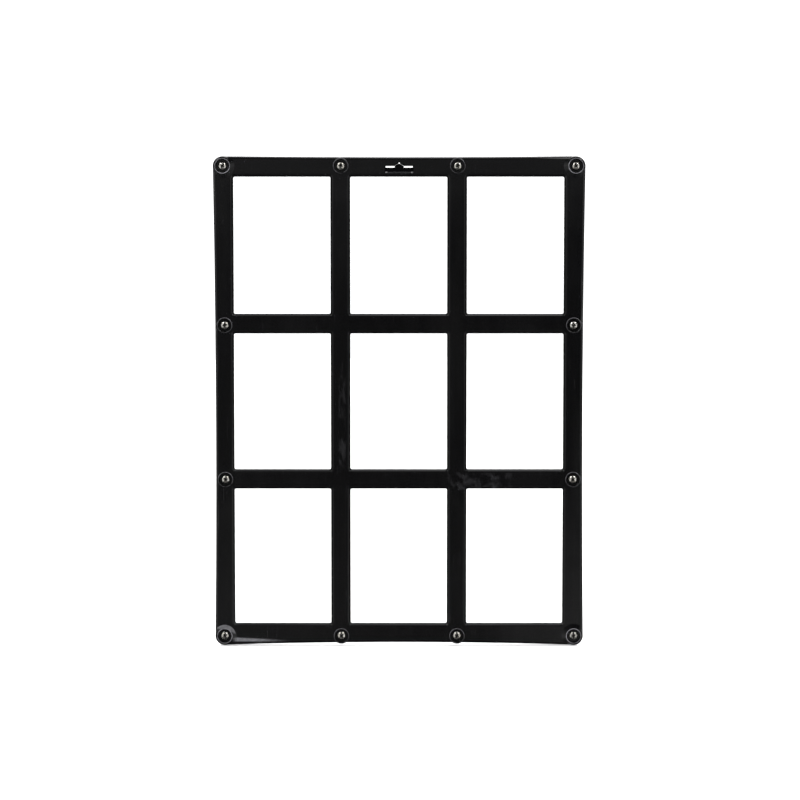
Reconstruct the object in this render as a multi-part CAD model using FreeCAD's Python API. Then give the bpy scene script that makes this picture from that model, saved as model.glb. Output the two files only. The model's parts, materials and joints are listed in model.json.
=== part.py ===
import FreeCAD, Part
import math
import os

# A wall-hung display frame with nine windows, three across and three down.
# A black moulded bezel and a clear pane behind it are drawn down on a clear
# back plate by twelve small cross-recess screws, which run into threaded
# inserts pressed in the back plate.  Millimetres, +X right as the frame is
# looked at, +Z up, and the front faces -Y.  The origin is the centre of the
# back plate's back face, so everything but the overshoot of cuts is at Y <= 0.

Vector = FreeCAD.Vector

# ---- driving dimensions ----------------------------------------------------
# windows
WINDOW_W = 62.5            # clear width of a window
WINDOW_H = 88.0            # clear height of a window
WINDOW_R = 1.0             # corner radius of the clear opening
PITCH_X = 75.2             # window to window, across
PITCH_Z = 100.7            # window to window, up
GRID_X = -0.3              # the windows sit this much left of the plate's middle
GRID_Z = 0.65              # and this much above it

# outline of the bezel
HALF_W = 118.65            # half width at the middle of the long sides
HALF_TOP = 157.75          # height of the top side's middle
HALF_BOTTOM = 156.6        # depth of the bottom side's middle
EAR_R = 6.2                # corner ear, concentric with its screw

# stack, along Y
PLATE_T = 3.0              # clear back plate
BEZEL_T = 4.0              # bezel, back face to front face
PANE_T = 1.5               # clear pane in the bezel's rabbet

# screw lines: the four corners stand a little outside the rows between them
X_CORNER = 113.55
X_SIDE = 112.6
X_INNER = PITCH_X / 2
Z_TOP = 152.15
Z_UPPER = 49.95
Z_LOWER = -Z_UPPER
Z_BOTTOM = -Z_TOP

HEAD_RECESS_DEPTH = 1.6    # seat of the screw heads, below the front face
OVERSHOOT = 1.0            # cuts run this far past the faces they open

# ---- derived places --------------------------------------------------------
Y_PLATE_FRONT = -PLATE_T
Y_FACE = Y_PLATE_FRONT - BEZEL_T         # bezel front face
Y_SEAT = Y_FACE + HEAD_RECESS_DEPTH      # where the heads bear

WINDOW_CENTRES = [
    (i * PITCH_X + GRID_X, k * PITCH_Z + GRID_Z)
    for i in (-1, 0, 1) for k in (-1, 0, 1)
]

# screw places: name, x, z, angle of the cross recess in degrees
PLACES = [
    ("top_1", -X_CORNER, Z_TOP, 31.0),
    ("top_2", -X_INNER, Z_TOP, 12.0),
    ("top_3", X_INNER, Z_TOP, 68.0),
    ("top_4", X_CORNER, Z_TOP, 52.0),
    ("left_upper", -X_SIDE, Z_UPPER, 77.0),
    ("left_lower", -X_SIDE, Z_LOWER, 24.0),
    ("right_upper", X_SIDE, Z_UPPER, 5.0),
    ("right_lower", X_SIDE, Z_LOWER, 40.0),
    ("bottom_1", -X_CORNER, Z_BOTTOM, 59.0),
    ("bottom_2", -X_INNER, Z_BOTTOM, 47.0),
    ("bottom_3", X_INNER, Z_BOTTOM, 18.0),
    ("bottom_4", X_CORNER, Z_BOTTOM, 83.0),
]


# ---- helpers ---------------------------------------------------------------
def arc(start, middle, end):
    return Part.Arc(start, middle, end).toShape()


def polygon(points):
    """A closed wire through the points."""
    return Part.makePolygon(points + [points[0]])


def rounded_wire(x, z, half_w, half_h, radius, y):
    """A rectangle with round corners about (x, z), in the plane Y = y."""
    left, right, low, high = x - half_w, x + half_w, z - half_h, z + half_h
    inset = radius * (1 - math.sqrt(0.5))     # corner to the arc's middle, per axis

    def at(px, pz):
        return Vector(px, y, pz)

    return Part.Wire([
        Part.makeLine(at(left + radius, low), at(right - radius, low)),
        arc(at(right - radius, low), at(right - inset, low + inset), at(right, low + radius)),
        Part.makeLine(at(right, low + radius), at(right, high - radius)),
        arc(at(right, high - radius), at(right - inset, high - inset), at(right - radius, high)),
        Part.makeLine(at(right - radius, high), at(left + radius, high)),
        arc(at(left + radius, high), at(left + inset, high - inset), at(left, high - radius)),
        Part.makeLine(at(left, high - radius), at(left, low + radius)),
        arc(at(left, low + radius), at(left + inset, low + inset), at(left + radius, low)),
    ])


def rounded_prism(x, z, half_w, half_h, radius, y_from, y_to):
    face = Part.Face(rounded_wire(x, z, half_w, half_h, radius, y_from))
    return face.extrude(Vector(0, y_to - y_from, 0))


def cylinder(x, z, radius, y_front, y_back):
    return Part.makeCylinder(radius, y_back - y_front, Vector(x, y_front, z), Vector(0, 1, 0))


def cone(x, y, z, radius, end_radius, length):
    """A cone that starts at Y = y and runs towards the back."""
    return Part.makeCone(radius, end_radius, length, Vector(x, y, z), Vector(0, 1, 0))


def turned(profile, x, z):
    """A solid of revolution about the line through (x, z) along Y.

    The profile holds (radius, y) points, or (radius, y, mid_radius, mid_y)
    where the point is reached by an arc through the mid point.
    """
    edges = []
    for i, point in enumerate(profile):
        target = profile[(i + 1) % len(profile)]
        start = Vector(x + point[0], point[1], z)
        end = Vector(x + target[0], target[1], z)
        if len(target) == 4:
            edges.append(arc(start, Vector(x + target[2], target[3], z), end))
        else:
            edges.append(Part.makeLine(start, end))
    return Part.Face(Part.Wire(edges)).revolve(Vector(x, 0, z), Vector(0, 1, 0), 360)


def mirrored_prism(right_half, y_from, y_to):
    """A prism symmetric about X = 0.

    right_half lists its (x, z) corners from the bottom up, with z measured
    from the line through the top screws.
    """
    corners = right_half + [(-x, z) for x, z in reversed(right_half)]
    wire = polygon([Vector(x, y_from, Z_TOP + z) for x, z in corners])
    return Part.Face(wire).extrude(Vector(0, y_to - y_from, 0))


def edges_at(shape, y):
    """The edges that lie in the plane Y = y."""
    return [
        e for e in shape.Edges
        if e.BoundBox.YLength < 1e-4 and abs(e.BoundBox.YMin - y) < 1e-4
    ]


def one_solid(shape):
    """Merge split faces and hand back the single solid."""
    solids = shape.removeSplitter().Solids
    if len(solids) != 1:
        raise RuntimeError("expected one solid, got %d" % len(solids))
    return solids[0]


# ---- outline shared by bezel and plate ---------------------------------------
def outline_prism(out, y_from, y_to):
    """The outside, moved outwards by out.

    Four round ears, and between them four sides that bow in very slightly:
    each side is a large arc that touches both its ears.
    """
    ear_r = EAR_R + out
    # middle of the side, the way it faces, and the ears at its start and end,
    # going round anticlockwise as seen from the front
    sides = [
        ((HALF_W + out, 0), (1, 0), (X_CORNER, Z_BOTTOM), (X_CORNER, Z_TOP)),
        ((0, HALF_TOP + out), (0, 1), (X_CORNER, Z_TOP), (-X_CORNER, Z_TOP)),
        ((-HALF_W - out, 0), (-1, 0), (-X_CORNER, Z_TOP), (-X_CORNER, Z_BOTTOM)),
        ((0, -HALF_BOTTOM - out), (0, -1), (-X_CORNER, Z_BOTTOM), (X_CORNER, Z_BOTTOM)),
    ]

    def on_ear(ear, towards_x, towards_z):
        """The point of an ear's circle that lies in the given direction."""
        scale = ear_r / math.hypot(towards_x, towards_z)
        return Vector(ear[0] + towards_x * scale, y_from, ear[1] + towards_z * scale)

    side_arcs = []
    for (mid_x, mid_z), (way_x, way_z), *ears in sides:
        # the ear's centre from the side's middle, across and along the side
        ear_x, ear_z = ears[0]
        across = (mid_x - ear_x) * way_x + (mid_z - ear_z) * way_z
        along = abs((mid_x - ear_x) * way_z) + abs((mid_z - ear_z) * way_x)
        side_r = (along ** 2 + across ** 2 - ear_r ** 2) / (2 * (ear_r - across))
        centre_x, centre_z = mid_x + way_x * side_r, mid_z + way_z * side_r
        start, end = [on_ear(ear, centre_x - ear[0], centre_z - ear[1]) for ear in ears]
        side_arcs.append((start, Vector(mid_x, y_from, mid_z), end))

    edges = []
    for i, (start, middle, end) in enumerate(side_arcs):
        edges.append(arc(start, middle, end))
        next_start = side_arcs[(i + 1) % 4][0]
        ear = sides[i][3]
        ear_middle = on_ear(
            ear, (end.x + next_start.x) / 2 - ear[0], (end.z + next_start.z) / 2 - ear[1])
        edges.append(arc(end, ear_middle, next_start))
    return Part.Face(Part.Wire(edges)).extrude(Vector(0, y_to - y_from, 0))


# ---- hang slot ---------------------------------------------------------------
# Two wings joined by a thin arched slit with a round eye on top, in a shallow
# recess that reaches below them.  Heights are from the line through the top
# screws.
SLOT_HALF = 9.2            # recess half width
SLOT_LOW = -3.9            # foot of the recess
SLOT_DEPTH = 1.4           # recess depth
SLOT_CORNER = 0.5          # cut corners of the recess
SLOT_SHOULDER = 0.3        # upper cut corners start this far below the wings' top
SLOT_MARGIN = 0.35         # recess past the slit's top and the arch
SLOT_OVER_EYE = 0.2        # recess past the top of the eye
SLIT_HALF = 8.7            # slit half width
SLIT_LOW = -0.95           # foot of the slit's wings
SLIT_TOP = 0.15            # top of the slit's wings
ARCH_FOOT = 3.1            # half width of the arch where it meets the wings
ARCH_HALF = 0.6            # half width of the arch under the eye
ARCH_TOP = 1.75
ARCH_GAP = 0.22            # width of the slit along the arch
TONGUE_TOP = 1.5           # top of the tongue that fills the arch
EYE_R = 0.45
EYE_Z = 1.98
EYE_TOP = EYE_Z + EYE_R
FOOT_CHAMFER = 0.5         # along the recess's foot
FOOT_OVER = 0.5            # chamfer wedge, in front of the face
FOOT_RISE = 0.3            # chamfer wedge, above the foot
DIMPLE_R = 0.95            # cone at each end of the foot, at its wide end
DIMPLE_TIP_R = 0.1
DIMPLE_L = 0.85
DIMPLE_OVER = 0.1          # cone's start, in front of the face
DIMPLE_IN = 0.15           # cone's axis, inside the end of the chamfer
DIMPLE_RISE = 0.05         # cone's axis, above the foot


def slot_slit():
    """Two wings, a thin arched slit that joins them, and the eye on top."""
    y_front, y_back = Y_FACE - OVERSHOOT, Y_PLATE_FRONT + OVERSHOOT
    slit = mirrored_prism([
        (SLIT_HALF, SLIT_LOW), (SLIT_HALF, SLIT_TOP),
        (ARCH_FOOT, SLIT_TOP), (ARCH_HALF, ARCH_TOP),
    ], y_front, y_back)
    # the tongue's flanks run parallel to the arch, ARCH_GAP inside it
    run, rise = ARCH_FOOT - ARCH_HALF, ARCH_TOP - SLIT_TOP
    flank = math.hypot(run, rise)
    foot_x = ARCH_FOOT - ARCH_GAP * rise / flank
    foot_z = SLIT_TOP - ARCH_GAP * run / flank
    top_x = foot_x - (TONGUE_TOP - foot_z) * run / rise
    tongue = mirrored_prism([
        (foot_x, SLIT_LOW - OVERSHOOT), (foot_x, foot_z), (top_x, TONGUE_TOP),
    ], y_front - OVERSHOOT, y_back + OVERSHOOT)
    return slit.cut(tongue).fuse(cylinder(0, Z_TOP + EYE_Z, EYE_R, y_front, y_back))


def slot_recess():
    """The shallow recess in the face, from the eye down to the slot's foot."""
    return mirrored_prism([
        (SLOT_HALF - SLOT_CORNER, SLOT_LOW),
        (SLOT_HALF, SLOT_LOW + SLOT_CORNER),
        (SLOT_HALF, SLIT_TOP - SLOT_SHOULDER),
        (SLOT_HALF - SLOT_CORNER, SLIT_TOP + SLOT_MARGIN),
        (ARCH_FOOT + SLOT_MARGIN, SLIT_TOP + SLOT_MARGIN),
        (ARCH_HALF + SLOT_MARGIN, ARCH_TOP + SLOT_MARGIN),
        (ARCH_HALF, EYE_TOP + SLOT_OVER_EYE),
    ], Y_FACE - OVERSHOOT, Y_FACE + SLOT_DEPTH)


def slot_foot():
    """Chamfer along the recess's foot, with a small dimple at each end."""
    z = Z_TOP + SLOT_LOW
    half = SLOT_HALF - SLOT_CORNER
    y_front, y_back = Y_FACE - FOOT_OVER, Y_FACE + FOOT_CHAMFER
    section = polygon([
        Vector(-half, y_front, z - FOOT_CHAMFER - FOOT_OVER),
        Vector(-half, y_back, z),
        Vector(-half, y_back, z + FOOT_RISE),
        Vector(-half, y_front, z + FOOT_RISE),
    ])
    wedge = Part.Face(section).extrude(Vector(2 * half, 0, 0))
    dimples = [
        cone(x, Y_FACE - DIMPLE_OVER, z + DIMPLE_RISE, DIMPLE_R, DIMPLE_TIP_R, DIMPLE_L)
        for x in (-half + DIMPLE_IN, half - DIMPLE_IN)
    ]
    return [wedge] + dimples


# ---- front bezel -------------------------------------------------------------
EDGE_R = 1.7               # rounding of the outer front edge
BEVEL_W = 1.5              # window bevel, measured on the front face
BEVEL_D = 1.25             # how deep the bevel runs
BEVEL_OVER = 0.8           # bevel cutter, in front of the face
BEVEL_ROUND = 1.1          # rounding where the face turns into a bevel
HOLE_OVER = 3.0            # window cutter, in front of the face
RIM_BAND = 3.0             # no window edge lies this near the outer rounding

# pane rabbet
PANE_R = 1.85              # corner radius of the pane
PANE_LAP = 1.3             # pane past the outer windows' edges
RABBET_GAP = 0.05          # rabbet floor to the pane's front
RABBET_SIDE = 0.15         # rabbet wall to the pane's edge
PANE_HALF_W = PITCH_X + WINDOW_W / 2 + PANE_LAP
PANE_HALF_H = PITCH_Z + WINDOW_H / 2 + PANE_LAP

# bosses
SCREW_HOLE_D = 3.3         # clearance hole in the bezel
HEAD_RECESS_R = 4.3        # round recess that takes the head
RING_OUT_R = 5.2           # raised lip round the recess
RING_H = 0.6               # lip above the front face
CREST_R = 4.85             # crest of the corner boss
CREST_H = 1.0              # crest above the front face
CREST_DIP = 0.06           # the boss drops this much either side of the crest
FLANK_R = 8.2              # foot of the cone that runs out into the rails
FLANK_SUNK = 0.35          # outer part of that radius which is below the face
FLANK_IN = 2.1             # the flanks stop this far inside the ears' outside
FLANK_CORNER_R = 4.0       # corner radius of the limit they stop at
Y_CREST = Y_FACE - CREST_H


def window_bevel(x, z):
    """A flared cutter, widened in line with the bevel in front of the face."""
    spread = BEVEL_W * (1.0 + BEVEL_OVER / BEVEL_D)
    half_w, half_h = WINDOW_W / 2, WINDOW_H / 2
    return Part.makeLoft([
        rounded_wire(x, z, half_w, half_h, WINDOW_R, Y_FACE + BEVEL_D),
        rounded_wire(x, z, half_w + spread, half_h + spread, WINDOW_R + spread,
                     Y_FACE - BEVEL_OVER),
    ], True, True)


def corner_boss(x, z):
    """A round ear with a crest, and flanks that run out into the rails."""
    ear = turned([
        (0, Y_PLATE_FRONT), (EAR_R, Y_PLATE_FRONT), (EAR_R, Y_FACE + 0.75),
        (CREST_R + 0.2, Y_CREST + CREST_DIP, EAR_R - 0.32, Y_FACE - 0.4),
        (CREST_R, Y_CREST), (CREST_R - 0.3, Y_CREST + CREST_DIP), (0, Y_CREST + CREST_DIP),
    ], x, z)
    slope = CREST_H / (FLANK_R - FLANK_SUNK - CREST_R)
    limit = rounded_prism(
        0, 0, X_CORNER + EAR_R - FLANK_IN, Z_TOP + EAR_R - FLANK_IN, FLANK_CORNER_R,
        Y_FACE + 0.6, Y_CREST - 0.5)
    flanks = turned([
        (0, Y_FACE + 0.5), (FLANK_R, Y_FACE + 0.5),
        (FLANK_R, Y_FACE + FLANK_SUNK * slope), (CREST_R, Y_CREST), (0, Y_CREST),
    ], x, z).common(limit)
    return [ear, flanks]


def ring_boss(x, z):
    """A round boss with a raised lip."""
    return [turned([
        (0, Y_PLATE_FRONT), (RING_OUT_R, Y_PLATE_FRONT), (RING_OUT_R, Y_FACE),
        (HEAD_RECESS_R, Y_FACE, (RING_OUT_R + HEAD_RECESS_R) / 2, Y_FACE - RING_H),
        (0, Y_FACE),
    ], x, z)]


def screw_cuts(x, z):
    """The recess for a screw's head, flared at the corners, and its hole."""
    y_front = Y_CREST - OVERSHOOT
    if abs(x) == X_CORNER:
        recess = turned([
            (0, y_front), (CREST_R + 0.28, y_front), (CREST_R - 0.22, Y_CREST + 0.02),
            (HEAD_RECESS_R, Y_CREST + 0.75), (HEAD_RECESS_R, Y_SEAT), (0, Y_SEAT),
        ], x, z)
    else:
        recess = cylinder(x, z, HEAD_RECESS_R, y_front, Y_SEAT)
    return [recess, cylinder(x, z, SCREW_HOLE_D / 2, y_front, Y_PLATE_FRONT + OVERSHOOT)]


def front_bezel():
    body = outline_prism(0, Y_PLATE_FRONT, Y_FACE)
    body = body.makeFillet(EDGE_R, edges_at(body, Y_FACE))

    # windows with their bevels
    holes = [
        rounded_prism(x, z, WINDOW_W / 2, WINDOW_H / 2, WINDOW_R,
                      Y_PLATE_FRONT + OVERSHOOT, Y_FACE - HOLE_OVER)
        for x, z in WINDOW_CENTRES
    ]
    bevels = [window_bevel(x, z) for x, z in WINDOW_CENTRES]
    body = one_solid(body.cut(holes + bevels))

    # round the bevels' mouths, but not the inner line of the outer rounding
    mouths = []
    for edge in edges_at(body, Y_FACE):
        box = edge.BoundBox
        if (max(abs(box.XMin), abs(box.XMax)) < HALF_W - EDGE_R - RIM_BAND
                and max(abs(box.ZMin), abs(box.ZMax)) < HALF_TOP - EDGE_R - RIM_BAND):
            mouths.append(edge)
    body = body.makeFillet(BEVEL_ROUND, mouths)

    # bosses, then clear the windows of whatever the bosses put in them
    bosses = []
    for _, x, z, _ in PLACES:
        bosses += corner_boss(x, z) if abs(x) == X_CORNER else ring_boss(x, z)
    body = body.fuse(bosses)
    body = body.cut(holes)

    # rabbet for the pane
    body = body.cut(rounded_prism(
        GRID_X, GRID_Z, PANE_HALF_W + RABBET_SIDE, PANE_HALF_H + RABBET_SIDE,
        PANE_R + RABBET_SIDE,
        Y_PLATE_FRONT + OVERSHOOT, Y_PLATE_FRONT - PANE_T - RABBET_GAP,
    ))

    body = body.cut([cut for _, x, z, _ in PLACES for cut in screw_cuts(x, z)])
    body = body.cut([slot_recess(), slot_slit()] + slot_foot())
    return one_solid(body)


# ---- clear pieces ------------------------------------------------------------
CLEAR_CHAMFER = 0.15       # pane's edges and the plate's front edge
PLATE_CHAMFER = 0.35       # plate's back edge
PLATE_PROUD = 0.4          # the plate's margin all round the bezel
PLATE_SLOT_GAP = 0.5       # plate's slot opening past the bezel's slit
INSERT_D = 4.2             # threaded insert, and its hole in the plate

# card recesses in the back plate
CARD_W = 63.9
CARD_H = 89.3
CARD_DEPTH = 0.6
CARD_R = 1.5


def front_pane():
    pane = rounded_prism(
        GRID_X, GRID_Z, PANE_HALF_W, PANE_HALF_H, PANE_R,
        Y_PLATE_FRONT, Y_PLATE_FRONT - PANE_T,
    )
    rims = [e for e in pane.Edges if e.BoundBox.YLength < 1e-6]
    return one_solid(pane.makeChamfer(CLEAR_CHAMFER, rims))


def back_plate():
    plate = outline_prism(PLATE_PROUD, 0, Y_PLATE_FRONT)
    for y, chamfer in ((0, PLATE_CHAMFER), (Y_PLATE_FRONT, CLEAR_CHAMFER)):
        plate = plate.makeChamfer(chamfer, edges_at(plate, y))
    y_front = Y_PLATE_FRONT - OVERSHOOT
    cuts = [cylinder(x, z, INSERT_D / 2, y_front, OVERSHOOT) for _, x, z, _ in PLACES]
    for x, z in WINDOW_CENTRES:
        cuts.append(rounded_prism(
            x, z, CARD_W / 2, CARD_H / 2, CARD_R, y_front, Y_PLATE_FRONT + CARD_DEPTH))
    gap = PLATE_SLOT_GAP
    cuts.append(mirrored_prism([
        (SLIT_HALF + gap, SLIT_LOW - gap), (SLIT_HALF + gap, SLIT_TOP + gap),
        (ARCH_FOOT + gap, SLIT_TOP + gap), (ARCH_HALF + gap, EYE_TOP + gap),
    ], OVERSHOOT, y_front))
    return one_solid(plate.cut(cuts))


# ---- screws ------------------------------------------------------------------
HEAD_R = 2.7
HEAD_H = 2.0
HEAD_SIDE = 0.75           # seat to the foot of the dome
HEAD_FLAT_R = 0.55         # flat in the middle of the dome
HEAD_CHAMFER = 0.12        # under the head
SHANK_R = 1.45
SHANK_L = 5.0
TIP_CHAMFER = 0.45
CROSS_HALF_W = 1.55        # cross recess, axis to a wing's tip at the head's top
CROSS_HALF_T = 0.39        # half a wing's thickness at the head's top
CROSS_FOOT_HALF_W = 0.62   # the same two at the recess's floor
CROSS_FOOT_HALF_T = 0.28
CROSS_DEPTH = 1.45
CROSS_OVER = 0.3           # wing cutters, in front of the head
CROSS_CONE_R = 0.95        # cone in the middle of the cross
CROSS_CONE_FOOT_R = 0.42
CROSS_CONE_OVER = 0.25     # cone cutter, in front of the head


def screw(x, z, angle):
    top = Y_SEAT - HEAD_H
    side = Y_SEAT - HEAD_SIDE
    tip = Y_SEAT + SHANK_L
    body = turned([
        (0, top), (HEAD_FLAT_R, top),
        (HEAD_R, side, HEAD_R * 0.74, top + (side - top) * 0.255),
        (HEAD_R, Y_SEAT - HEAD_CHAMFER), (HEAD_R - HEAD_CHAMFER, Y_SEAT),
        (SHANK_R, Y_SEAT), (SHANK_R, tip - TIP_CHAMFER), (SHANK_R - TIP_CHAMFER, tip),
        (0, tip),
    ], x, z)

    def section(half_w, half_t, y):
        return polygon([
            Vector(-half_w, y, -half_t), Vector(half_w, y, -half_t),
            Vector(half_w, y, half_t), Vector(-half_w, y, half_t),
        ])

    # the wings' taper carries on in front of the head
    extra = CROSS_OVER / CROSS_DEPTH
    cutters = []
    for turn in (0, 90):
        wing = Part.makeLoft([
            section(CROSS_HALF_W + (CROSS_HALF_W - CROSS_FOOT_HALF_W) * extra,
                    CROSS_HALF_T + (CROSS_HALF_T - CROSS_FOOT_HALF_T) * extra,
                    top - CROSS_OVER),
            section(CROSS_FOOT_HALF_W, CROSS_FOOT_HALF_T, top + CROSS_DEPTH),
        ], True, True)
        wing.rotate(Vector(0, 0, 0), Vector(0, 1, 0), angle + turn)
        wing.translate(Vector(x, 0, z))
        cutters.append(wing)
    cutters.append(cone(
        x, top - CROSS_CONE_OVER, z, CROSS_CONE_R, CROSS_CONE_FOOT_R,
        CROSS_DEPTH + CROSS_CONE_OVER))
    return one_solid(body.cut(cutters))


# ---- threaded inserts --------------------------------------------------------
INSERT_BORE_R = 1.5
INSERT_L = 2.8
INSERT_CHAMFER = 0.25      # outside, at both ends
BORE_CHAMFER = 0.2
GROOVE_DEPTH = 0.22        # groove round the middle
GROOVE_HALF = 0.25         # its half width at the outside
GROOVE_FLOOR_HALF = 0.12   # and at its floor
FLUTES = 16
FLUTE_DEPTH = 0.16
FLUTE_SIDE = 0.34          # side of the square cutter


def insert(x, z):
    outer, bore = INSERT_D / 2, INSERT_BORE_R
    back = -(PLATE_T - INSERT_L) / 2
    front = back - INSERT_L
    middle = (back + front) / 2
    body = turned([
        (bore + BORE_CHAMFER, back), (outer - INSERT_CHAMFER, back),
        (outer, back - INSERT_CHAMFER), (outer, middle + GROOVE_HALF),
        (outer - GROOVE_DEPTH, middle + GROOVE_FLOOR_HALF),
        (outer - GROOVE_DEPTH, middle - GROOVE_FLOOR_HALF),
        (outer, middle - GROOVE_HALF), (outer, front + INSERT_CHAMFER),
        (outer - INSERT_CHAMFER, front), (bore + BORE_CHAMFER, front),
        (bore, front + BORE_CHAMFER), (bore, back - BORE_CHAMFER),
    ], x, z)
    # each square stands on its corner, so its point sits FLUTE_DEPTH deep
    half = FLUTE_SIDE / 2
    reach = outer - FLUTE_DEPTH + half * math.sqrt(2)
    cutters = []
    for i in range(FLUTES):
        cutter = Part.makeBox(FLUTE_SIDE, INSERT_L + 2 * OVERSHOOT, FLUTE_SIDE,
                              Vector(-half, front - OVERSHOOT, -half))
        cutter.rotate(Vector(0, 0, 0), Vector(0, 1, 0), 45)
        cutter.translate(Vector(reach, 0, 0))
        cutter.rotate(Vector(0, 0, 0), Vector(0, 1, 0), 360 * i / FLUTES)
        cutter.translate(Vector(x, 0, z))
        cutters.append(cutter)
    return one_solid(body.cut(cutters))


# ---- write -------------------------------------------------------------------
def main():
    os.makedirs("parts", exist_ok=True)
    nodes = {
        "front_bezel": front_bezel(),
        "front_pane": front_pane(),
        "back_plate": back_plate(),
    }
    for name, x, z, angle in PLACES:
        nodes["screw_" + name] = screw(x, z, angle)
        nodes["insert_" + name] = insert(x, z)
    for name, shape in nodes.items():
        if not shape.isValid():
            raise RuntimeError(name + " is not a valid solid")
        shape.exportStep("parts/" + name + ".step")


main()
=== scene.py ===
"""A wall frame: a black bezel over clear plates, held by twelve screws in brass inserts.

It stands upright on the floor: X runs left to right, Z up, and the front faces -Y.
The clear back sheet, the screws and the inserts are built here; the rest is CAD.
"""
import json
import math

import bmesh
import bpy
from mathutils import Matrix, Vector


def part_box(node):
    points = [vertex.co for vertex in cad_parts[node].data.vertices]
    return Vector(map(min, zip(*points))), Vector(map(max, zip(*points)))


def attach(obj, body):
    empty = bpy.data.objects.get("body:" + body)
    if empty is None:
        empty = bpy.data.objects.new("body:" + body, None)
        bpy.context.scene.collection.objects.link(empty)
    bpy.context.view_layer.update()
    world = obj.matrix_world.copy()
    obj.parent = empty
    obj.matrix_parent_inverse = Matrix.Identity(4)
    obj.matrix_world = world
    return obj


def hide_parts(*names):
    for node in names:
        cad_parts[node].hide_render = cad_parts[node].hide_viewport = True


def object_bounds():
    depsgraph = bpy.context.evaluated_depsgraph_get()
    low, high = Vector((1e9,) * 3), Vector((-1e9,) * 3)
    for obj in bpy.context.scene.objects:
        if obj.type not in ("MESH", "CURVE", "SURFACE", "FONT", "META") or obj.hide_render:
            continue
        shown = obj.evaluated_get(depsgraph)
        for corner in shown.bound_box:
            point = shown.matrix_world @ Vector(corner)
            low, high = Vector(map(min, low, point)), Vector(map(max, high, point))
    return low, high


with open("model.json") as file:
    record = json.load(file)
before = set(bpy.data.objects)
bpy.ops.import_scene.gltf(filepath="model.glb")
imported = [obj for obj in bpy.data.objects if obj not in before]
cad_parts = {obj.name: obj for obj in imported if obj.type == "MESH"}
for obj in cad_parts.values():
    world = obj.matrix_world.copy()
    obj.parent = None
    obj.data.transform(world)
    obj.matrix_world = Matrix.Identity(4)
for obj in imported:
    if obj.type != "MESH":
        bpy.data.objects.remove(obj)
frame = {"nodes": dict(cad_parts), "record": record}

CAD_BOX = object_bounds()
scene = bpy.context.scene
nodes = frame["nodes"]
record = frame["record"]
SLOT_OF = {part["node"]: part["material_slot"] for part in record["subparts"]}
BODY_OF = {
    node: body for body, group in record["behaviour"]["bodies"].items() for node in group
}

MM = 0.001
PITCH = 0.5 * MM            # M3 thread
STEPS_PER_PITCH = 8


def middle_xz(node):
    lo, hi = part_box(node)
    return (lo.x + hi.x) / 2, (lo.z + hi.z) / 2


# places of one screw of each kind; the others mirror them in X and Z
CORNER = middle_xz("screw_top_4")
INNER = middle_xz("screw_top_3")
SIDE = middle_xz("screw_right_upper")
SCREW_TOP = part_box("screw_top_1")[0].y          # the front of the heads
BEZEL_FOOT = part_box("front_bezel")[0].z


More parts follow.
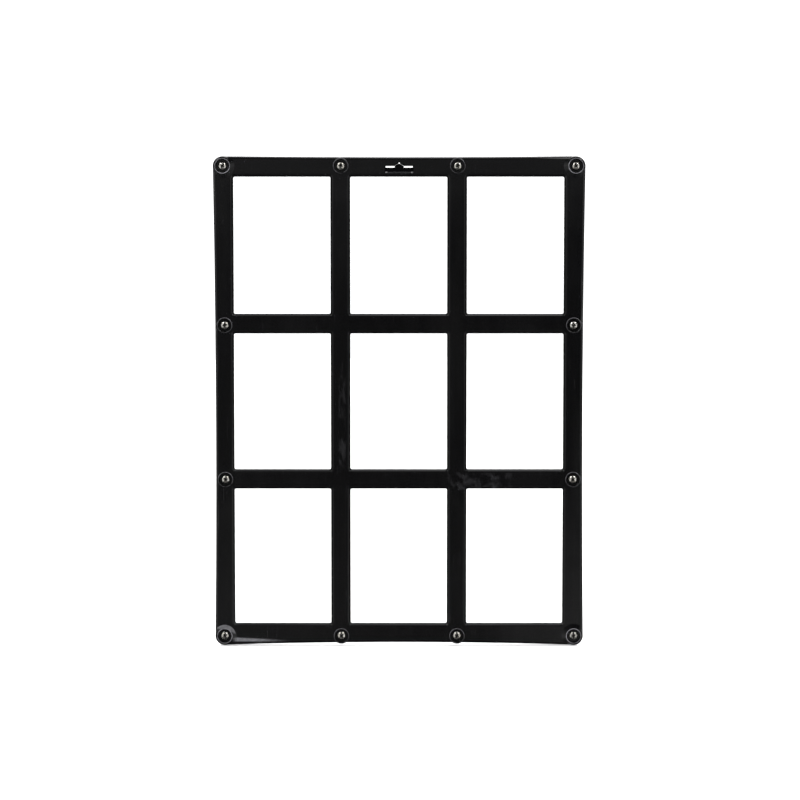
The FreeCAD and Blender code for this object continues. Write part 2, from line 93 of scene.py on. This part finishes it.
# ---------------------------------------------------------------------------
# node trees
# ---------------------------------------------------------------------------
class Graph:
    """The node tree of a material or world. Values may be numbers, tuples or sockets."""

    def __init__(self, owner, output="ShaderNodeOutputMaterial"):
        self.owner, self.output = owner, output
        owner.use_nodes = True
        self.tree = owner.node_tree
        self.tree.nodes.clear()

    def feed(self, socket, value):
        """Link or set an input; None leaves it alone, and colours get an alpha of 1."""
        if value is None:
            return
        if isinstance(value, bpy.types.NodeSocket):
            self.tree.links.new(value, socket)
        else:
            socket.default_value = (*value, 1) if socket.type == "RGBA" else value

    def node(self, kind, *by_index, **by_name):
        """Make a node; underscores in input names stand for spaces."""
        node = self.tree.nodes.new(kind)
        for i, value in enumerate(by_index):
            self.feed(node.inputs[i], value)
        for name, value in by_name.items():
            self.feed(node.inputs[name.replace("_", " ")], value)
        return node

    def finish(self, shader):
        self.node(self.output, Surface=shader)
        return self.owner

    # arithmetic
    def math(self, operation, a, b=None, c=None):
        node = self.node("ShaderNodeMath", a, b, c)
        node.operation = operation
        return node.outputs[0]

    def fold(self, operation, parts):
        out = parts[0]
        for part in parts[1:]:
            out = self.math(operation, out, part)
        return out

    def total(self, *parts):
        return self.fold("ADD", parts)

    def product(self, *parts):
        return self.fold("MULTIPLY", parts)

    def highest(self, *parts):
        return self.fold("MAXIMUM", parts)

    def length(self, a, b):
        return self.math("SQRT", self.total(self.product(a, a), self.product(b, b)))

    def raised(self, base, *layers):
        """base plus mask * gain for each (mask, gain), one multiply-add node each."""
        for mask, gain in layers:
            base = self.math("MULTIPLY_ADD", mask, gain, base)
        return base

    def lit(self, base, *lamps):
        """base plus mask * strength for each (mask, strength), where both may be sockets."""
        return self.total(base, *(self.product(mask, strength) for mask, strength in lamps))

    def step(self, value, start, end):
        """0 before start, 1 after end, smooth between; start may lie above end."""
        node = self.node("ShaderNodeMapRange", Value=value, From_Min=start, From_Max=end)
        node.interpolation_type = "SMOOTHSTEP"
        return node.outputs["Result"]

    def within(self, value, low, high, soft):
        """1 between low and high, falling to 0 over soft outside them."""
        return self.product(
            self.step(value, low - soft, low), self.step(value, high + soft, high))

    # places and patterns
    def place(self):
        return self.node("ShaderNodeTexCoord").outputs["Object"]

    def own_place(self):
        """Object coordinates, shifted by a number that differs from piece to piece."""
        place = self.place()
        shift = self.node("ShaderNodeObjectInfo").outputs["Random"]
        return self.node("ShaderNodeVectorMath", place, shift).outputs[0]

    def xyz(self, vector):
        node = self.node("ShaderNodeSeparateXYZ", vector)
        return node.outputs["X"], node.outputs["Y"], node.outputs["Z"]

    def mapping(self, vector, scale=(1, 1, 1), shift=(0, 0, 0), turn=(0, 0, 0)):
        return self.node("ShaderNodeMapping", Vector=vector, Scale=scale, Location=shift,
                         Rotation=turn).outputs["Vector"]

    def noise(self, vector, scale, detail=2.0, rough=0.5, distortion=0.0, **placing):
        """A scale of three numbers stretches the noise through a mapping node."""
        if isinstance(scale, tuple):
            vector, scale = self.mapping(vector, scale, **placing), 1.0
        return self.node("ShaderNodeTexNoise", Vector=vector, Scale=scale, Detail=detail,
                         Roughness=rough, Distortion=distortion).outputs["Fac"]

    def ramp(self, value, start, end, low=0.0, high=1.0):
        """Grey low up to start, high from end, linear between."""
        node = self.node("ShaderNodeValToRGB", Fac=value)
        stops = ((start, low), (end, high))
        for element, (position, grey) in zip(node.color_ramp.elements, stops):
            element.position = position
            element.color = (grey, grey, grey, 1.0)
        return node.outputs["Color"]

    # colours, bumps and shaders
    def colours(self, base, *layers):
        """base covered in turn by each (mask, colour)."""
        for mask, colour in layers:
            node = self.node("ShaderNodeMix", mask)
            node.data_type = "RGBA"
            self.feed(node.inputs[6], base)
            self.feed(node.inputs[7], colour)
            base = node.outputs[2]
        return base

    def bumps(self, *layers):
        """Bumps laid over each other, each (height, strength, distance in metres)."""
        normal = None
        for height, strength, distance in layers:
            normal = self.node("ShaderNodeBump", Strength=strength, Distance=distance,
                               Height=height, Normal=normal).outputs["Normal"]
        return normal

    def principled(self, **inputs):
        return self.node("ShaderNodeBsdfPrincipled", **inputs).outputs[0]

    def mix_shader(self, factor, first, second):
        return self.node("ShaderNodeMixShader", factor, first, second).outputs[0]


def material(name):
    return Graph(bpy.data.materials.new(name))


# ---------------------------------------------------------------------------
# black plastic: masks for its wear, limits in metres from the frame's middle
# ---------------------------------------------------------------------------
def painted_reflection_places(k, co, x, z):
    """Painted reflections: a tall streak left of the middle and a blotch at lower right."""
    streak = k.product(k.within(x, -0.0385, -0.0352, soft=0.0012),
                       k.within(z, -0.036, 0.016, soft=0.008))
    blotch = k.product(k.within(x, 0.036, 0.070, soft=0.006),
                     k.within(z, -0.0555, -0.0465, soft=0.002))
    cloud = k.noise(co, scale=(170, 170, 120), detail=3.0, rough=0.6, distortion=0.8)
    return k.product(k.total(streak, blotch), k.ramp(cloud, 0.46, 0.62))


def crest_painted_highlights(k, abs_x, abs_z, y, z):
    """Painted highlights on the crests round the screws: corner ones all round and brightest on
    their inner sides, others mostly on their upper sides.
    """
    high = k.step(y, -0.00705, -0.00735)        # only the frontmost part

    def crest(boss, inside, outside, soft):
        dx = k.math("SUBTRACT", abs_x, boss[0])
        dz = k.math("SUBTRACT", abs_z, boss[1])
        return dx, dz, k.within(k.length(dx, dz), inside, outside, soft)

    corner_strength = 1.0
    dx, dz, ring = crest(CORNER, 0.00455, 0.00492, soft=0.00012)
    inward = k.step(k.total(dx, dz), 0.0045, -0.0045)
    corner = k.product(ring, high, k.raised(0.45, (inward, 0.55)), corner_strength)

    middle_up = 0.0         # height over the screw about which the upper side begins
    others = []
    for boss in (INNER, SIDE):
        _, dz, ring = crest(boss, 0.00462, 0.00490, soft=0.00010)
        above = k.math("SUBTRACT", k.product(dz, k.math("SIGN", z)), middle_up)
        upper = k.step(above, -0.003, 0.004)
        others.append(k.product(ring, high, k.raised(0.10, (upper, 0.30))))
    return k.highest(corner, k.highest(*others))


def corner_painted_highlight(k, x, y, z, grain):
    """A painted highlight over the upper flank of the lower left corner crest."""
    dx, dz = k.math("ADD", x, CORNER[0]), k.math("ADD", z, CORNER[1])
    upper = k.step(k.total(dz, k.product(dx, 0.25)), 0.0022, 0.0046)
    ring = k.within(k.length(dx, dz), 0.0052, 0.0070, soft=0.0005)
    front = k.step(y, -0.0066, -0.0069)
    return k.product(ring, upper, front, k.ramp(grain, 0.30, 0.60, low=0.55))


def sill_painted_reflection(k, x, y, z, grain):
    """A painted reflection on the left part of the lower edge; it thins out and fades to the
    right.
    """
    strength = 0.85
    lip = k.math("SUBTRACT", z, BEZEL_FOOT)
    slope = 0.045           # how fast its top edge falls to the right
    lean = k.total(lip, k.product(k.math("ADD", x, 0.106), slope))
    return k.product(
        k.step(x, -0.109, -0.105), k.step(x, -0.070, -0.096),   # left end, right fade
        k.step(lean, 0.0055, 0.0043), k.step(lip, 0.0020, 0.0030),  # top, bottom
        k.step(y, -0.0060, -0.0066),
        k.ramp(grain, 0.30, 0.62, low=0.55), strength)


def hang_slot(k, abs_x, y, z):
    """The slot's matt pocket, a painted highlight along its foot and brighter painted highlights
    at the foot's two ends.
    """
    rise = k.math("SUBTRACT", z, CORNER[1])
    pocket = k.product(k.step(abs_x, 0.0094, 0.0092), k.within(rise, -0.0038, 0.0030, soft=0.0001),
                       k.step(y, -0.00695, -0.00680))
    foot_highlight = k.product(k.step(abs_x, 0.0088, 0.0084),
                     k.within(rise, -0.0045, -0.0037, soft=0.00022))
    end_highlights = k.product(k.within(abs_x, 0.0078, 0.0088, soft=0.0003),
                     k.within(rise, -0.0044, -0.0036, soft=0.0002))
    return pocket, foot_highlight, end_highlights


def hair_scratches(k, co):
    """Thin crossing lines, each set seen only in patches."""
    sets = []
    for i, (turn, size) in enumerate(((0.35, 1.0), (-0.9, 1.3), (1.35, 0.8))):
        line = k.noise(co, scale=(1900 * size, 1900 * size, 46 * size), detail=1.0, rough=0.4,
                       distortion=0.25, shift=(i * 2.3, 0, i), turn=(0, turn, 0))
        line = k.ramp(line, 0.725, 0.76)
        gate = k.noise(co, scale=(60, 60, 60), detail=1.0, shift=(i * 5.0, 1, 2))
        sets.append(k.product(line, k.ramp(gate, 0.55, 0.66)))
    return k.highest(*sets)


def black_plastic():
    """Polished moulded black: slow waviness, orange peel and wiped smears, with painted
    reflections and highlights on the face, the crests, the lower edge and the slot's foot.
    """
    k = material("black_plastic")
    co = k.place()
    x, y, z = k.xyz(co)
    abs_x, abs_z = k.math("ABSOLUTE", x), k.math("ABSOLUTE", z)

    slow = k.noise(k.mapping(co), scale=26.0, rough=0.45)
    peel = k.noise(co, scale=900.0)
    fine = k.noise(co, scale=4200.0, rough=0.6)
    grain = k.noise(co, scale=700.0, rough=0.6)
    breaks = k.ramp(grain, 0.34, 0.60, low=0.45)
    # wiped smears, long up and down
    smear = k.noise(co, scale=(42, 42, 9), detail=4.0, rough=0.62, distortion=0.6)
    smear = k.ramp(smear, 0.46, 0.68)
    patch = k.noise(co, scale=(14, 14, 14), detail=3.0, rough=0.6, distortion=0.3,
                    shift=(3.1, 1.7, 0.4))
    patch = k.ramp(patch, 0.48, 0.62)
    dust = k.ramp(k.noise(co, scale=2600.0, detail=1.0), 0.745, 0.79)

    painted_reflections = painted_reflection_places(k, co, x, z)
    crest_highlights = k.product(crest_painted_highlights(k, abs_x, abs_z, y, z), breaks)
    corner_highlight = corner_painted_highlight(k, x, y, z, grain)
    sill_reflection = sill_painted_reflection(k, x, y, z, grain)
    pocket, foot_highlight, end_highlights = hang_slot(k, abs_x, y, z)
    scratches = hair_scratches(k, co)
    # the back, which lies against the clear plate, was left matt by the mould
    matt = k.step(y, -0.0036, -0.0031)

    roughness = k.raised(0.09, (smear, 0.06), (patch, 0.03), (scratches, 0.15),
                         (k.total(crest_highlights, corner_highlight), 0.30), (matt, 0.30))
    # near black, with paler layers over it: painted reflections (streak and blotch, lower edge),
    # painted highlights (crests, corner flank, slot foot and its ends), and real smears, scratches
    # and dust
    colour = k.colours(
        (0.0011, 0.0011, 0.0013),
        (smear, (0.0020, 0.0020, 0.0022)),
        (k.product(painted_reflections, 0.8), (0.011, 0.011, 0.012)),
        (k.product(crest_highlights, 0.9), (0.185, 0.182, 0.200)),
        (corner_highlight, (0.078, 0.078, 0.083)),
        (sill_reflection, (0.135, 0.135, 0.145)),
        (k.product(foot_highlight, breaks), (0.020, 0.020, 0.021)),
        (k.product(end_highlights, breaks), (0.150, 0.150, 0.155)),
        (k.product(scratches, 0.30), (0.022, 0.022, 0.025)),
        (k.product(dust, 0.20), (0.03, 0.03, 0.031)))
    return k.finish(k.principled(
        IOR=1.52, Base_Color=colour, Roughness=roughness,
        Specular_IOR_Level=k.raised(0.5, (pocket, -0.42), (matt, -0.30)),
        Normal=k.bumps((slow, 0.35, 0.0007), (peel, 0.04, 0.00010),
                       (scratches, 0.08, 0.00004), (fine, 0.02, 0.00003))))


# ---------------------------------------------------------------------------
# the other materials
# ---------------------------------------------------------------------------
def clear_plastic():
    """Clear cast acrylic: polished faces that refract, sawn edges a little frosted."""
    k = material("clear_plastic")
    acrylic_ior = 1.49
    co = k.place()
    x, _, z = k.xyz(co)
    normal_y = k.xyz(k.node("ShaderNodeNewGeometry").outputs["True Normal"])[1]
    # only the outside edges are sawn; bores and recesses are moulded clear
    facing = k.math("ABSOLUTE", normal_y)
    outside_x = k.step(k.math("ABSOLUTE", x), 0.1160, 0.1165)
    outside_z = k.step(k.math("ABSOLUTE", z), 0.1545, 0.1550)
    edge = k.product(k.ramp(facing, 0.90, 0.97, low=1.0, high=0.0),
                     k.highest(outside_x, outside_z))

    smear = k.noise(co, scale=(30, 30, 11), detail=4.0, rough=0.6, distortion=0.5)
    smear = k.ramp(smear, 0.50, 0.75)
    scratch = k.noise(co, scale=(1500, 1500, 30), detail=1.0, rough=0.4, distortion=0.2,
                      turn=(0, 0.5, 0))
    scratch = k.ramp(scratch, 0.745, 0.785)
    slow = k.noise(co, scale=18.0, detail=1.0, rough=0.4)
    glass = k.principled(
        IOR=acrylic_ior, Transmission_Weight=1.0,
        Base_Color=k.colours((0.994, 0.997, 0.998), (smear, (0.985, 0.988, 0.990))),
        Roughness=k.raised(0.004, (smear, 0.02), (scratch, 0.08)),
        Normal=k.bumps((slow, 0.15, 0.0004), (scratch, 0.05, 0.00002)))

    # lamps and soft light pass straight through a thin clear sheet
    clear = k.node("ShaderNodeBsdfTransparent", Color=(0.93, 0.935, 0.94)).outputs[0]
    ray = k.node("ShaderNodeLightPath").outputs
    face = k.mix_shader(k.highest(ray["Is Shadow Ray"], ray["Is Diffuse Ray"]), glass, clear)

    # the sawn edge: fine saw lines along the sheet, mostly frosted
    frosting = 0.80
    saw = k.noise(co, scale=(60, 2600, 60), rough=0.6)
    rim_colour = k.colours((0.145, 0.140, 0.158),
                           (k.ramp(saw, 0.35, 0.65), (0.205, 0.198, 0.218)))
    rim = k.principled(IOR=acrylic_ior, Roughness=0.32, Base_Color=rim_colour,
                       Normal=k.bumps((saw, 0.25, 0.00006)))
    return k.finish(k.mix_shader(edge, face, k.mix_shader(frosting, face, rim)))


def nickel():
    """Bright nickel plate: handling scratches, a little tarnish, painted shade in the recess."""
    k = material("plated_steel")
    co = k.own_place()
    tarnish = k.ramp(k.noise(co, scale=650.0, detail=3.0, rough=0.6), 0.42, 0.7)
    hair = k.noise(co, scale=(5200, 600, 900), distortion=0.3, turn=(0, 0.6, 0))
    # painted shade: the recess is darkened inside, behind the head's front
    x, y, z = k.xyz(k.place())
    radius = k.length(x, z)
    recess_shade = k.product(k.step(y, SCREW_TOP + 0.00030, SCREW_TOP + 0.00060),
                       k.step(y, SCREW_TOP + 0.0019, SCREW_TOP + 0.0018),
                       k.step(radius, 0.0016, 0.0014))
    colour = k.colours((0.90, 0.88, 0.83), (tarnish, (0.66, 0.63, 0.54)),
                       (k.product(recess_shade, 0.92), (0.02, 0.018, 0.014)))
    roughness = k.raised(0.20, (tarnish, 0.12), (k.ramp(hair, 0.62, 0.74), 0.10))
    return k.finish(k.principled(Metallic=1.0, Base_Color=colour, Roughness=roughness,
                                 Normal=k.bumps((hair, 0.12, 0.00004))))


def brass():
    """Turned brass with tarnish in patches."""
    k = material("insert_brass")
    co = k.own_place()
    tarnish = k.ramp(k.noise(co, scale=900.0, detail=3.0, rough=0.6), 0.4, 0.7)
    lathe = k.noise(co, scale=(300, 9000, 300), detail=1.0)
    return k.finish(k.principled(
        Metallic=1.0, Roughness=k.raised(0.24, (tarnish, 0.15)),
        Base_Color=k.colours((0.80, 0.58, 0.24), (tarnish, (0.42, 0.27, 0.10))),
        Normal=k.bumps((lathe, 0.1, 0.00003))))


def floor_paper():
    """Matt white paper that glows a little."""
    k = material("floor_paper")
    grain = k.noise(k.place(), scale=260.0, detail=3.0, rough=0.6)
    colour = k.colours((0.90, 0.90, 0.90), (k.ramp(grain, 0.3, 0.7), (0.93, 0.93, 0.93)))
    return k.finish(k.principled(
        Base_Color=colour, Roughness=0.85, Specular_IOR_Level=0.15,
        Emission_Color=(1.0, 1.0, 1.0), Emission_Strength=0.30,
        Normal=k.bumps((grain, 0.05, 0.0003))))


MATERIALS = {
    "black_plastic": black_plastic(),
    "clear_plastic": clear_plastic(),
    "plated_steel": nickel(),
    "insert_brass": brass(),
}


def paint(obj, finish):
    if not obj.material_slots:
        obj.data.materials.append(finish)
    for slot in obj.material_slots:
        slot.material = finish


for name, obj in nodes.items():
    paint(obj, MATERIALS[SLOT_OF[name]])


# ---------------------------------------------------------------------------
# mesh helpers
# ---------------------------------------------------------------------------
def add_object(name, data):
    obj = bpy.data.objects.new(name, data)
    scene.collection.objects.link(obj)
    return obj


def piece(name, mesh, node, place=(0, 0, 0), turn=0.0):
    """A piece that stands for a CAD node and rides on its body; the node is hidden."""
    obj = add_object(name, mesh)
    obj.location = place
    obj.rotation_euler = (0, turn, 0)
    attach(obj, BODY_OF[node])
    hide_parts(node)
    return obj


def to_mesh(bm, name):
    mesh = bpy.data.meshes.new(name)
    bm.to_mesh(mesh)
    bm.free()
    return mesh


def turned_mesh(name, rows, segments, radius=lambda r, y, angle: r, closed=False):
    """A skin round the Y axis through rows of (y, r), where radius may change r.

    Closed rows join last to first; open ones end in poles.
    """
    bm = bmesh.new()
    rings = []
    for y, r in rows:
        ring = []
        for j in range(segments):
            angle = 2 * math.pi * j / segments
            reach = radius(r, y, angle)
            ring.append(bm.verts.new((reach * math.cos(angle), y, reach * math.sin(angle))))
        rings.append(ring)
    if closed:
        rings.append(rings[0])
    for a, b in zip(rings, rings[1:]):
        for j in range(segments):
            i = (j + 1) % segments
            bm.faces.new((a[j], a[i], b[i], b[j]))
    if not closed:
        for ring, y in ((rings[0], rows[0][0]), (rings[-1], rows[-1][0])):
            pole = bm.verts.new((0, y, 0))
            for j in range(segments):
                bm.faces.new((ring[j], pole, ring[(j + 1) % segments]))
    bmesh.ops.recalc_face_normals(bm, faces=bm.faces)
    return to_mesh(bm, name)


def soft_by_angle(mesh, degrees):
    """Smooth faces, with edges sharper than this kept hard."""
    mesh.shade_smooth()
    mesh.set_sharp_from_angle(angle=math.radians(degrees))


def cut(body, cutter_meshes, name):
    """The mesh of body less the cutters; the objects go."""
    for mesh in cutter_meshes:
        modifier = body.modifiers.new("cut", "BOOLEAN")
        modifier.operation = "DIFFERENCE"
        modifier.solver = "EXACT"
        modifier.object = add_object(mesh.name, mesh)
    depsgraph = bpy.context.evaluated_depsgraph_get()
    result = bpy.data.meshes.new_from_object(body.evaluated_get(depsgraph), depsgraph=depsgraph)
    result.name = name
    for obj in [body] + [modifier.object for modifier in body.modifiers]:
        bpy.data.objects.remove(obj)
    return result


def thread_phase(y, angle):
    """Distance from the middle of a right-hand thread's turn, 0 to 1."""
    return abs(2 * ((y / PITCH + angle / (2 * math.pi)) % 1.0) - 1)


def clamped(value):
    return min(1.0, max(0.0, value))


# ---------------------------------------------------------------------------
# screws
# ---------------------------------------------------------------------------
def wedge_mesh(top, turn):
    """One bar of the cross recess, narrowing to the back."""
    over, deep = 0.3 * MM, 1.45 * MM            # reach before and behind the head's front
    front_half = (1.55 * MM, 0.39 * MM)         # half length, half width at the head's front
    end_half = (0.62 * MM, 0.28 * MM)           # and at the recess's end
    grow = 1 + over / deep
    start_half = [end + (front - end) * grow for front, end in zip(front_half, end_half)]
    bm = bmesh.new()
    start, end = (
        [bm.verts.new((sx * length, y, sz * width))
         for sx, sz in ((-1, -1), (1, -1), (1, 1), (-1, 1))]
        for (length, width), y in ((start_half, top - over), (end_half, top + deep)))
    bm.faces.new(start)
    bm.faces.new(end[::-1])
    for j in range(4):
        i = (j + 1) % 4
        bm.faces.new((start[j], end[j], end[i], start[i]))
    bmesh.ops.recalc_face_normals(bm, faces=bm.faces)
    bmesh.ops.rotate(bm, verts=bm.verts, cent=(0, 0, 0), matrix=Matrix.Rotation(turn, 3, "Y"))
    return to_mesh(bm, "wedge")


def screw_mesh():
    """An M3 pan head screw along Y: domed head at the front, thread behind it."""
    lo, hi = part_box("screw_top_1")
    top, tip = lo.y, hi.y
    seat = top + 2.0 * MM                       # the back of the head
    side = seat - 0.75 * MM                     # where the dome meets the head's side
    head_r, thread_r, tip_r = 2.7 * MM, 1.45 * MM, 1.02 * MM
    thread_depth, run_out, lead_in = 0.27 * MM, 0.5 * MM, 0.55 * MM

    # dome, from a small flat to the head's side
    dome_steps, dome_from, dome_to = 12, 12, 86     # angles in degrees
    cos_from, cos_to = math.cos(math.radians(dome_from)), math.cos(math.radians(dome_to))
    rows = []
    for i in range(dome_steps + 1):
        angle = math.radians(dome_from + (dome_to - dome_from) * i / dome_steps)
        rows.append((side - (side - top) * (math.cos(angle) - cos_to) / (cos_from - cos_to),
                     head_r * math.sin(angle) / math.sin(math.radians(dome_to))))
    # the head's side and back, then the neck
    rows += [(side + 0.1 * MM, head_r), (seat - 0.16 * MM, head_r),
             (seat - 0.05 * MM, head_r - 0.05 * MM), (seat, head_r - 0.16 * MM),
             (seat, 1.72 * MM), (seat + 0.03 * MM, 1.58 * MM), (seat + 0.12 * MM, 1.46 * MM)]
    start = seat + 0.35 * MM
    pace = PITCH / STEPS_PER_PITCH
    count = round((tip - 0.08 * MM - start) / pace)
    rows += [(start + i * pace, thread_r) for i in range(count + 1)]
    rows += [(tip - 0.03 * MM, tip_r), (tip, 0.86 * MM)]

    def radius(r, y, angle):
        if y <= start or r < 1.2 * MM:
            return r
        wave = clamped((thread_phase(y, angle) - 0.08) / 0.80)  # 1 at crest, 0 at root
        fade = min(1.0, (y - start) / run_out)  # the thread runs out under the head
        lead = clamped((tip - y) / lead_in)
        return min(r - (1 - wave) * thread_depth * fade, tip_r + lead * (thread_r - tip_r))

    body = add_object("screw_body", turned_mesh("screw_body", rows, 64, radius))
    cone = [(top - 0.25 * MM, 0.95 * MM), (top + 1.45 * MM, 0.42 * MM),
            (top + 1.62 * MM, 0.12 * MM)]
    cutters = [wedge_mesh(top, 0.0), wedge_mesh(top, math.pi / 2), turned_mesh("cone", cone, 32)]
    mesh = cut(body, cutters, "screw_m3")
    soft_by_angle(mesh, 32)
    return mesh


# ---------------------------------------------------------------------------
# inserts
# ---------------------------------------------------------------------------
def insert_mesh():
    """A press-in insert: two knurled bands, a groove between, a threaded bore."""
    lo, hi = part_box("insert_top_1")
    front, back = lo.y, hi.y
    middle = (back + front) / 2
    knurl_r, bore_r = 2.055 * MM, 1.53 * MM
    groove_r, end_r = knurl_r - 0.22 * MM, knurl_r - 0.24 * MM
    bevel_r, mouth_r = knurl_r - 0.12 * MM, bore_r + 0.2 * MM
    knurl_depth, knurl_count, knurl_pace = 0.11 * MM, 26, 0.105 * MM
    thread_depth = 0.144 * MM
    band_steps = 22

    def band(start, stop):
        return [(start + (stop - start) * i / band_steps, knurl_r)
                for i in range(band_steps + 1)]

    rows = [(front, mouth_r), (front, end_r), (front + 0.08 * MM, bevel_r)]
    rows += band(front + 0.16 * MM, middle - 0.22 * MM)
    rows += [(middle - 0.14 * MM, groove_r), (middle + 0.14 * MM, groove_r)]
    rows += band(middle + 0.22 * MM, back - 0.16 * MM)
    rows += [(back - 0.08 * MM, bevel_r), (back, end_r), (back, mouth_r)]
    # the bore, from back to front
    start, stop = back - 0.2 * MM, front + 0.2 * MM
    count = round((start - stop) / (PITCH / STEPS_PER_PITCH))
    rows += [(start + (stop - start) * i / count, bore_r) for i in range(count + 1)]

    def radius(r, y, angle):
        if r >= knurl_r - 1e-9:
            # diamonds: two crossing sets of shallow grooves
            slant = (y - middle) / knurl_pace
            waves = (math.sin(knurl_count * angle + slant)
                     + math.sin(knurl_count * angle - slant))
            return r - knurl_depth * (0.5 - 0.25 * waves) ** 0.7
        if abs(r - bore_r) < 1e-9:
            return r + thread_depth * clamped((thread_phase(y, angle) - 0.1) / 0.8)
        return r

    mesh = turned_mesh("insert_knurled", rows, 156, radius, closed=True)
    soft_by_angle(mesh, 40)
    return mesh


# how far each screw was turned, in degrees
TURNS = {
    "top_1": 31, "top_2": 12, "top_3": 68, "top_4": 52,
    "left_upper": 77, "left_lower": 24, "right_upper": 5, "right_lower": 40,
    "bottom_1": 59, "bottom_2": 47, "bottom_3": 18, "bottom_4": 83,
}
INSERT_TURN = 1.7           # an insert's turn, from its screw's
screw, insert = screw_mesh(), insert_mesh()
screw.materials.append(MATERIALS["plated_steel"])
insert.materials.append(MATERIALS["insert_brass"])
for place, degrees in TURNS.items():
    x, z = middle_xz("screw_" + place)
    piece("bolt_" + place, screw, "screw_" + place, (x, 0, z), math.radians(degrees))
    piece("bush_" + place, insert, "insert_" + place, (x, 0, z),
          math.radians(degrees * INSERT_TURN))

# the clear back sheet: as the CAD node, its front 0.02 mm back from the bezel,
# so that the two clear plates are two surfaces with air between them
SHEET_FRONT = -3 * MM
AIR_GAP = 0.02 * MM
sheet_mesh = nodes["back_plate"].data.copy()
sheet_mesh.name = "clear_back_sheet"
for vertex in sheet_mesh.vertices:
    if vertex.co.y < SHEET_FRONT + 0.002 * MM:
        vertex.co.y = SHEET_FRONT + AIR_GAP
sheet_mesh.update()
paint(piece("clear_back_sheet", sheet_mesh, "back_plate"), MATERIALS["clear_plastic"])

# ---------------------------------------------------------------------------
# stage, light and camera
# ---------------------------------------------------------------------------
FLOOR_HALF = 6.0
floor_z = CAD_BOX[0].z - 0.2 * MM
floor_mesh = bpy.data.meshes.new("floor")
floor_mesh.from_pydata(
    [(sx * FLOOR_HALF, sy * FLOOR_HALF, floor_z)
     for sx, sy in ((-1, -1), (1, -1), (1, 1), (-1, 1))], [], [(0, 1, 2, 3)])
floor = add_object("floor", floor_mesh)
paint(floor, floor_paper())
floor.visible_glossy = False


def studio_world():
    """White to the eye and to soft light; to reflections a dim studio with soft lamps."""
    world = bpy.data.worlds.new("studio")
    scene.world = world
    w = Graph(world, "ShaderNodeOutputWorld")
    world.cycles.sampling_method = "NONE"
    # x, y, z is the direction looked in; the camera stands towards -Y
    x, y, z = w.xyz(w.node("ShaderNodeTexCoord").outputs["Generated"])
    front = w.step(y, -0.25, -0.55)
    behind = w.step(y, 0.0, 0.5)
    aside = w.math("ABSOLUTE", x)
    left = w.step(x, 0.02, -0.09)
    left_again = w.step(x, 0.02, -0.09)
    # each entry is (where it shines, strength)
    glow = w.lit(
        0.055,
        # a pale line above the camera
        (w.product(w.step(z, 0.045, 0.085), w.step(z, 0.20, 0.12), front), 0.15),
        # a paler floor below it, brightest to the right
        (w.product(w.step(z, -0.09, -0.19), w.step(z, -0.60, -0.35), front),
         w.lit(0.05, (left, 0.07), (w.step(x, 0.03, 0.10), 0.25))),
        # the camera's left side
        (w.product(left_again, front), 0.03),
        # a pair of lamps above the camera, left and right
        (w.product(w.within(aside, 0.42, 0.72, soft=0.06),
                   w.within(z, 0.58, 0.80, soft=0.05), front), 5.2),
        # the bright ceiling, brighter to the right
        (w.step(z, 0.88, 0.96), w.lit(0.45, (w.step(x, -0.15, 0.10), 1.0))),
        # soft panels to the sides of the camera
        (w.product(w.within(aside, 0.52, 0.90, soft=0.08),
                   w.within(z, -0.50, 0.30, soft=0.10), w.step(y, -0.10, -0.35)), 0.50),
        # the wall behind
        (w.product(behind, w.step(z, -0.5, 0.3)), 0.55),
        # a low lamp behind on the left
        (w.product(w.step(y, 0.08, 0.16), w.step(z, -0.80, -0.90),
                   w.step(x, -0.02, -0.06)), 2.6))

    def background(strength):
        return w.node("ShaderNodeBackground", Color=(1, 1, 1), Strength=strength).outputs[0]

    ray = w.node("ShaderNodeLightPath").outputs
    diffused = w.math("GREATER_THAN", ray["Diffuse Depth"], 0.5)
    mirrored = w.math("GREATER_THAN", ray["Glossy Depth"], 0.5)
    plain = w.mix_shader(diffused, background(strength=1.6), background(strength=2.0))
    w.finish(w.mix_shader(mirrored, plain, background(glow)))


def aim(obj, location, direction):
    obj.location = location
    obj.rotation_mode = "QUATERNION"
    obj.rotation_quaternion = direction.to_track_quat("-Z", "Y")


def back_fill():
    """A wide lamp above and behind the frame."""
    lamp = bpy.data.lights.new("back_fill", "AREA")
    lamp.shape = "RECTANGLE"
    lamp.size, lamp.size_y = 1.4, 1.0
    lamp.energy = 6.0
    obj = add_object("back_fill", lamp)
    place = Vector((0.3, 1.4, 1.0))
    aim(obj, place, -place)
    obj.visible_camera = False


def camera():
    """It stands in front, a little above the middle of the frame."""
    distance, elevation = 1.10, math.radians(3.14)
    view_width = 0.51725        # what the view spans at the frame's front face
    sensor = 36.0
    x, z = middle_xz("front_pane")
    target = Vector((x + 0.83 * MM, -7 * MM, z + 1.02 * MM))
    data = bpy.data.cameras.new("camera")
    data.sensor_width = sensor
    data.lens = sensor * distance / view_width
    data.clip_start, data.clip_end = 0.01, 100
    obj = add_object("camera", data)
    back = Vector((0.0, -math.cos(elevation), math.sin(elevation)))
    aim(obj, target + back * distance, -back)
    scene.camera = obj


studio_world()
back_fill()
camera()

scene.view_settings.view_transform = "Standard"
scene.view_settings.look = "None"
scene.view_settings.exposure = 0.0
scene.view_settings.gamma = 1.0
